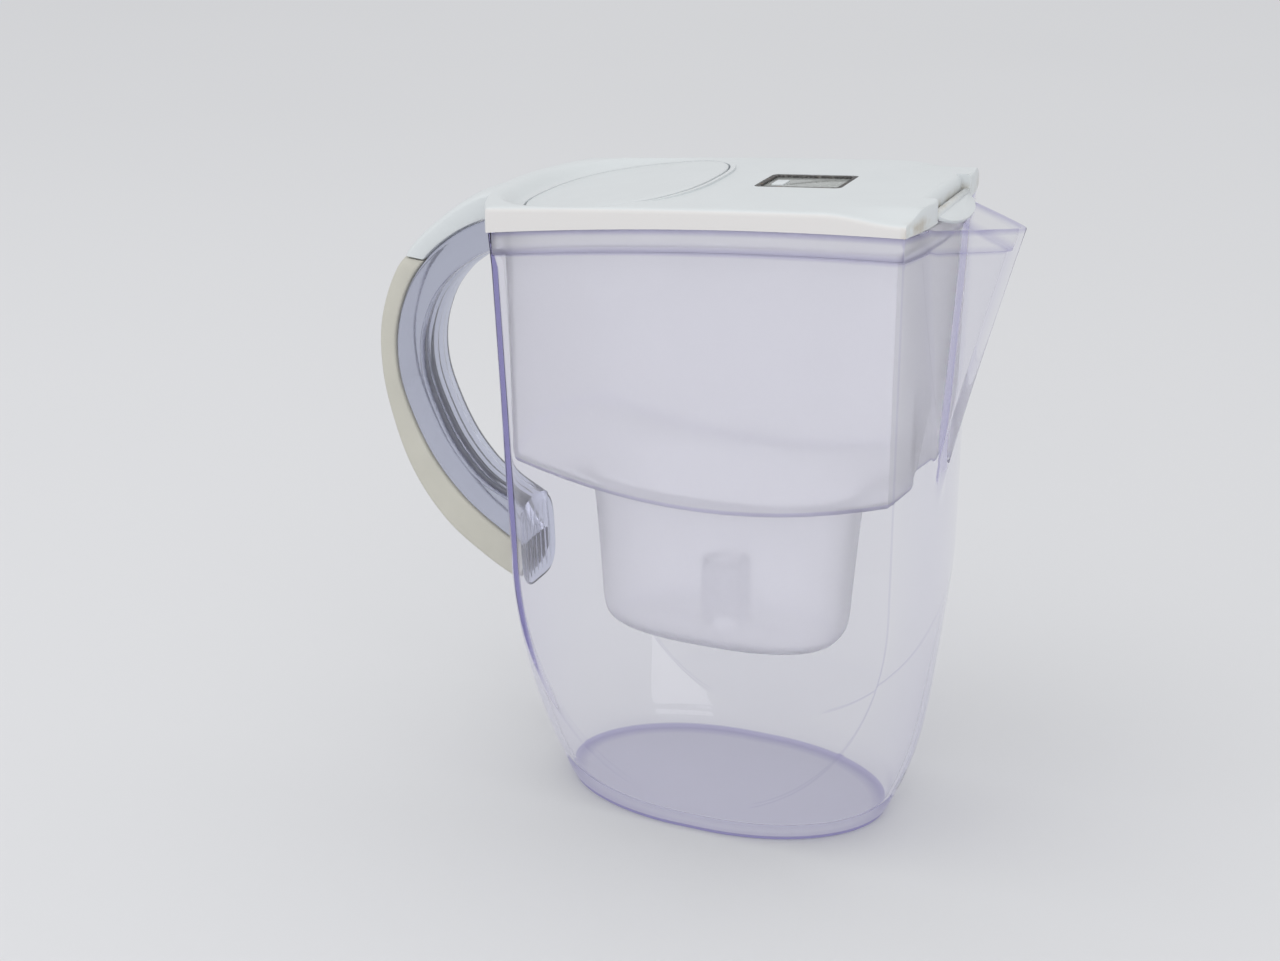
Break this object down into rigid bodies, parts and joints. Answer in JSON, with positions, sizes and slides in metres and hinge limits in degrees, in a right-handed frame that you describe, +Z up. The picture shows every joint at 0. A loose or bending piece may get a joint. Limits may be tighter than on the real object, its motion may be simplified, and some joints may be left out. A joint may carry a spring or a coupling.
{
  "type": "water filter pitcher with flip lid",
  "caption": "Flat-sided clear water filter pitcher: V spout, curved handle, lift-out hopper with cartridge well, arched lid with fill flap, pour flap and filter indicator.",
  "frame": {"origin": "centre of the oval foot, on the table", "axes": "+X towards the spout, +Y across the pitcher to its left, +Z up"},
  "size_m": [0.2736, 0.101, 0.2695],
  "materials": {
    "clear_jug": "clear, faint violet tint, polished",
    "clear_core": "clear, thick, violet grey",
    "ivory_strip": "satin ivory",
    "frosted_hopper": "translucent, lightly frosted",
    "white_lid": "satin white",
    "bezel_grey": "worn dark grey",
    "window_clear": "clear, polished",
    "seal_foam": "matt",
    "housing_white": "matt",
    "lcd_glass": "grey reflective",
    "elastomer": "matt",
    "board_green": "solder mask",
    "spring_metal": "plated",
    "cell_steel": "plated",
    "button_grey": "satin"
  },
  "bodies": {
    "jug_body": {"jug": "clear_jug", "handle_core": "clear_core", "handle_strip": "ivory_strip"},
    "hopper_body": {"hopper": "frosted_hopper"},
    "lid_body": {"lid_shell": "white_lid", "indicator_bezel": "bezel_grey", "indicator_window": "window_clear", "indicator_seal": "seal_foam", "indicator_housing": "housing_white", "indicator_lcd": "lcd_glass", "indicator_contact_strips": "elastomer", "indicator_board": "board_green", "indicator_dome": "spring_metal", "indicator_cell": "cell_steel", "indicator_cell_clip": "spring_metal"},
    "fill_flap_body": {"fill_flap": "white_lid"},
    "pour_flap_body": {"pour_flap": "white_lid"},
    "reset_button_body": {"reset_button": "button_grey"}
  },
  "joints": [
    {"name": "hopper_lift", "type": "slide", "parent": "jug_body", "child": "hopper_body", "axis": [0, 0, 1], "range_m": [0, 0.2]},
    {"name": "lid_lift", "type": "slide", "parent": "hopper_body", "child": "lid_body", "axis": [0, 0, 1], "range_m": [0, 0.08]},
    {"name": "fill_flap_hinge", "type": "hinge", "parent": "lid_body", "child": "fill_flap_body", "pos_m": [-0.05287, 0, 0.25337], "axis": [0, -1, 0], "range_deg": [0, 65]},
    {"name": "pour_flap_hinge", "type": "hinge", "parent": "lid_body", "child": "pour_flap_body", "pos_m": [0.0856, 0, 0.2626], "axis": [0, -1, 0], "range_deg": [0, 75]},
    {"name": "reset_button_travel", "type": "slide", "parent": "lid_body", "child": "reset_button_body", "axis": [-0.0656, 0, 0.9978], "range_m": [-0.0005, 0], "stiffness_N_per_m": 200}
  ]
}
